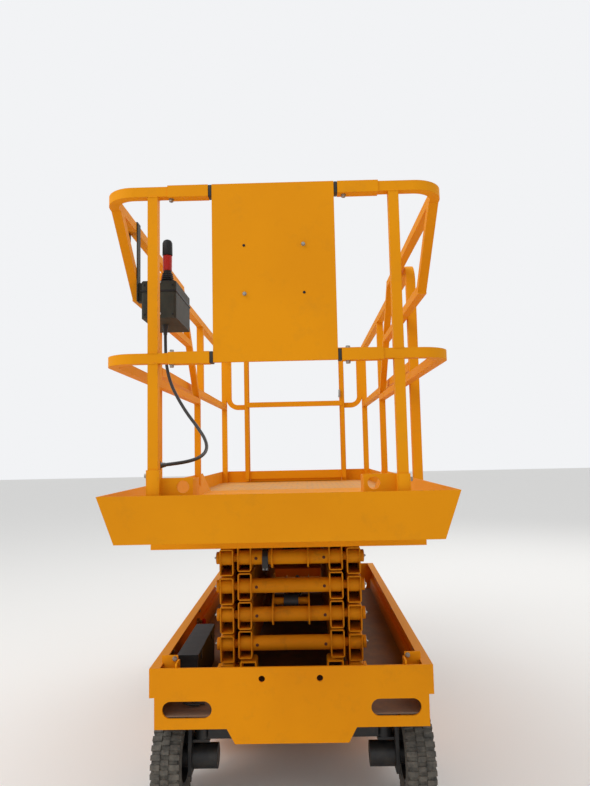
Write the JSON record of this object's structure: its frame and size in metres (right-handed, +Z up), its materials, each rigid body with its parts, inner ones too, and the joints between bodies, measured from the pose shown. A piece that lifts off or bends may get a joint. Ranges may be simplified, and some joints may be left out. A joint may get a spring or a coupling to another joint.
{
  "type": "scissor lift",
  "caption": "Self-propelled scissor lift with a railed work deck that slides out at the front, a rear entry gate and steered front wheels.",
  "frame": {"origin": "middle of the overall box, on the ground", "axes": "+X to the machine's right as seen from the front end of the picture, +Y from the steered end to the rear, +Z up"},
  "size_m": [1.25, 3.344, 2.4562],
  "materials": {
    "paint": "satin",
    "dark_steel": "satin",
    "rod_chrome": "polished",
    "rim_steel": "satin",
    "tyre_rubber": "matte",
    "black_plastic": "matte",
    "battery_case": "matte",
    "cable_rubber": "matte"
  },
  "bodies": {
    "chassis": {"end_plates": "paint", "chassis_side_members": "paint", "chassis_floor": "paint", "underframe": "paint", "chassis_brackets": "paint", "lower_tracks": "paint", "ground_control_box": "black_plastic", "side_housings": "paint", "power_blocks": "battery_case", "ladder": "paint", "axles": "dark_steel"},
    "left_door": {"left_door": "paint"},
    "right_door": {"right_door": "paint"},
    "left_knuckle": {"left_knuckle": "dark_steel"},
    "right_knuckle": {"right_knuckle": "dark_steel"},
    "tie_rod": {"tie_rod": "dark_steel"},
    "front_left_wheel": {"front_left_tyre": "tyre_rubber", "front_left_rim": "rim_steel"},
    "front_right_wheel": {"front_right_tyre": "tyre_rubber", "front_right_rim": "rim_steel"},
    "rear_left_wheel": {"rear_left_tyre": "tyre_rubber", "rear_left_rim": "rim_steel"},
    "rear_right_wheel": {"rear_right_tyre": "tyre_rubber", "rear_right_rim": "rim_steel"},
    "outer_1": {"outer_arms_1": "paint"},
    "inner_1": {"inner_arms_1": "paint"},
    "outer_2": {"outer_arms_2": "paint"},
    "inner_2": {"inner_arms_2": "paint"},
    "outer_3": {"outer_arms_3": "paint"},
    "inner_3": {"inner_arms_3": "paint"},
    "outer_4": {"outer_arms_4": "paint"},
    "inner_4": {"inner_arms_4": "paint"},
    "outer_5": {"outer_arms_5": "paint", "top_rollers": "dark_steel"},
    "inner_5": {"inner_arms_5": "paint"},
    "lower_barrel": {"lower_barrel": "dark_steel"},
    "lower_rod": {"lower_rod": "rod_chrome"},
    "upper_barrel": {"upper_barrel": "dark_steel"},
    "upper_rod": {"upper_rod": "rod_chrome"},
    "platform": {"deck_frame": "paint", "deck_floor": "paint", "deck_guides": "paint", "main_rails": "paint"},
    "entry_gate": {"entry_gate": "paint"},
    "extension": {"extension_deck": "paint", "slide_pads": "black_plastic", "extension_rails": "paint", "front_panel": "paint", "bracket_plates": "paint", "cable_socket": "black_plastic", "control_box": "black_plastic", "joystick": "black_plastic", "control_cable": "cable_rubber"}
  },
  "joints": [
    {"name": "lift", "type": "hinge", "parent": "chassis", "child": "outer_1", "pos_m": [0, -0.518, 0.563], "axis": [1, 0, 0], "range_deg": [0, 54]},
    {"name": "mid_pin_1", "type": "hinge", "parent": "outer_1", "child": "inner_1", "pos_m": [0, 0.502, 0.6294], "axis": [1, 0, 0], "range_deg": [-108, 0]},
    {"name": "end_pin_1", "type": "hinge", "parent": "inner_1", "child": "outer_2", "pos_m": [0, -0.518, 0.6958], "axis": [1, 0, 0], "range_deg": [0, 108]},
    {"name": "mid_pin_2", "type": "hinge", "parent": "outer_2", "child": "inner_2", "pos_m": [0, 0.502, 0.7622], "axis": [1, 0, 0], "range_deg": [-108, 0]},
    {"name": "end_pin_2", "type": "hinge", "parent": "inner_2", "child": "outer_3", "pos_m": [0, -0.518, 0.8286], "axis": [1, 0, 0], "range_deg": [0, 108]},
    {"name": "mid_pin_3", "type": "hinge", "parent": "outer_3", "child": "inner_3", "pos_m": [0, 0.502, 0.895], "axis": [1, 0, 0], "range_deg": [-108, 0]},
    {"name": "end_pin_3", "type": "hinge", "parent": "inner_3", "child": "outer_4", "pos_m": [0, -0.518, 0.9614], "axis": [1, 0, 0], "range_deg": [0, 108]},
    {"name": "mid_pin_4", "type": "hinge", "parent": "outer_4", "child": "inner_4", "pos_m": [0, 0.502, 1.0278], "axis": [1, 0, 0], "range_deg": [-108, 0]},
    {"name": "end_pin_4", "type": "hinge", "parent": "inner_4", "child": "outer_5", "pos_m": [0, -0.518, 1.0942], "axis": [1, 0, 0], "range_deg": [0, 108]},
    {"name": "mid_pin_5", "type": "hinge", "parent": "outer_5", "child": "inner_5", "pos_m": [0, 0.502, 1.1606], "axis": [1, 0, 0], "range_deg": [-108, 0]},
    {"name": "deck_pin", "type": "hinge", "parent": "inner_5", "child": "platform", "pos_m": [0, -0.518, 1.227], "axis": [1, 0, 0], "range_deg": [0, 54]},
    {"name": "lower_barrel_pin", "type": "hinge", "parent": "inner_1", "child": "lower_barrel", "pos_m": [0, 1.43419, 0.56872], "axis": [1, 0, 0], "range_deg": [-10.73, 0]},
    {"name": "lower_rod_slide", "type": "slide", "parent": "lower_barrel", "child": "lower_rod", "axis": [0, -0.9873, 0.1589], "range_m": [0, 1.58197]},
    {"name": "upper_barrel_pin", "type": "hinge", "parent": "inner_3", "child": "upper_barrel", "pos_m": [0, 1.43419, 0.83432], "axis": [1, 0, 0], "range_deg": [-10.73, 0]},
    {"name": "upper_rod_slide", "type": "slide", "parent": "upper_barrel", "child": "upper_rod", "axis": [0, -0.9873, 0.1589], "range_m": [0, 1.58197]},
    {"name": "extension_slide", "type": "slide", "parent": "platform", "child": "extension", "axis": [0, 1, 0], "range_m": [0, 0.87]},
    {"name": "gate_hinge", "type": "hinge", "parent": "platform", "child": "entry_gate", "pos_m": [-0.397, 1.58479, 1.375], "axis": [0, 0, 1], "range_deg": [-90, 0]},
    {"name": "left_door_hinge", "type": "hinge", "parent": "chassis", "child": "left_door", "pos_m": [-0.5605, -0.1589, 0.17], "axis": [0, 0, 1], "range_deg": [0, 95]},
    {"name": "right_door_hinge", "type": "hinge", "parent": "chassis", "child": "right_door", "pos_m": [0.5605, -0.1589, 0.17], "axis": [0, 0, 1], "range_deg": [-95, 0]},
    {"name": "steer_left", "type": "hinge", "parent": "chassis", "child": "left_knuckle", "pos_m": [-0.42, -0.538, 0.2], "axis": [0, 0, 1], "range_deg": [-50, 50]},
    {"name": "steer_right", "type": "hinge", "parent": "chassis", "child": "right_knuckle", "pos_m": [0.42, -0.538, 0.2], "axis": [0, 0, 1], "range_deg": [-50, 50]},
    {"name": "tie_rod_pin", "type": "hinge", "parent": "left_knuckle", "child": "tie_rod", "pos_m": [-0.42, -0.418, 0.272], "axis": [0, 0, 1], "range_deg": [-50, 50]},
    {"name": "front_left_roll", "type": "hinge", "parent": "left_knuckle", "child": "front_left_wheel", "pos_m": [-0.56, -0.538, 0.2], "axis": [1, 0, 0], "continuous": true},
    {"name": "front_right_roll", "type": "hinge", "parent": "right_knuckle", "child": "front_right_wheel", "pos_m": [0.56, -0.538, 0.2], "axis": [1, 0, 0], "continuous": true},
    {"name": "rear_left_roll", "type": "hinge", "parent": "chassis", "child": "rear_left_wheel", "pos_m": [-0.56, 1.35, 0.2], "axis": [1, 0, 0], "continuous": true},
    {"name": "rear_right_roll", "type": "hinge", "parent": "chassis", "child": "rear_right_wheel", "pos_m": [0.56, 1.35, 0.2], "axis": [1, 0, 0], "continuous": true}
  ],
  "couplings": [
    {"joint": "mid_pin_1", "follows": "lift", "ratio": -2},
    {"joint": "end_pin_1", "follows": "lift", "ratio": 2},
    {"joint": "mid_pin_2", "follows": "lift", "ratio": -2},
    {"joint": "end_pin_2", "follows": "lift", "ratio": 2},
    {"joint": "mid_pin_3", "follows": "lift", "ratio": -2},
    {"joint": "end_pin_3", "follows": "lift", "ratio": 2},
    {"joint": "mid_pin_4", "follows": "lift", "ratio": -2},
    {"joint": "end_pin_4", "follows": "lift", "ratio": 2},
    {"joint": "mid_pin_5", "follows": "lift", "ratio": -2},
    {"joint": "deck_pin", "follows": "lift", "ratio": 1},
    {"joint": "lower_barrel_pin", "follows": "lift", "ratio": -0.1985},
    {"joint": "lower_rod_slide", "follows": "lift", "m_per_rad": 1.6784},
    {"joint": "upper_barrel_pin", "follows": "lift", "ratio": -0.1985},
    {"joint": "upper_rod_slide", "follows": "lift", "m_per_rad": 1.6784},
    {"joint": "steer_right", "follows": "steer_left", "ratio": 1},
    {"joint": "tie_rod_pin", "follows": "steer_left", "ratio": -1}
  ]
}
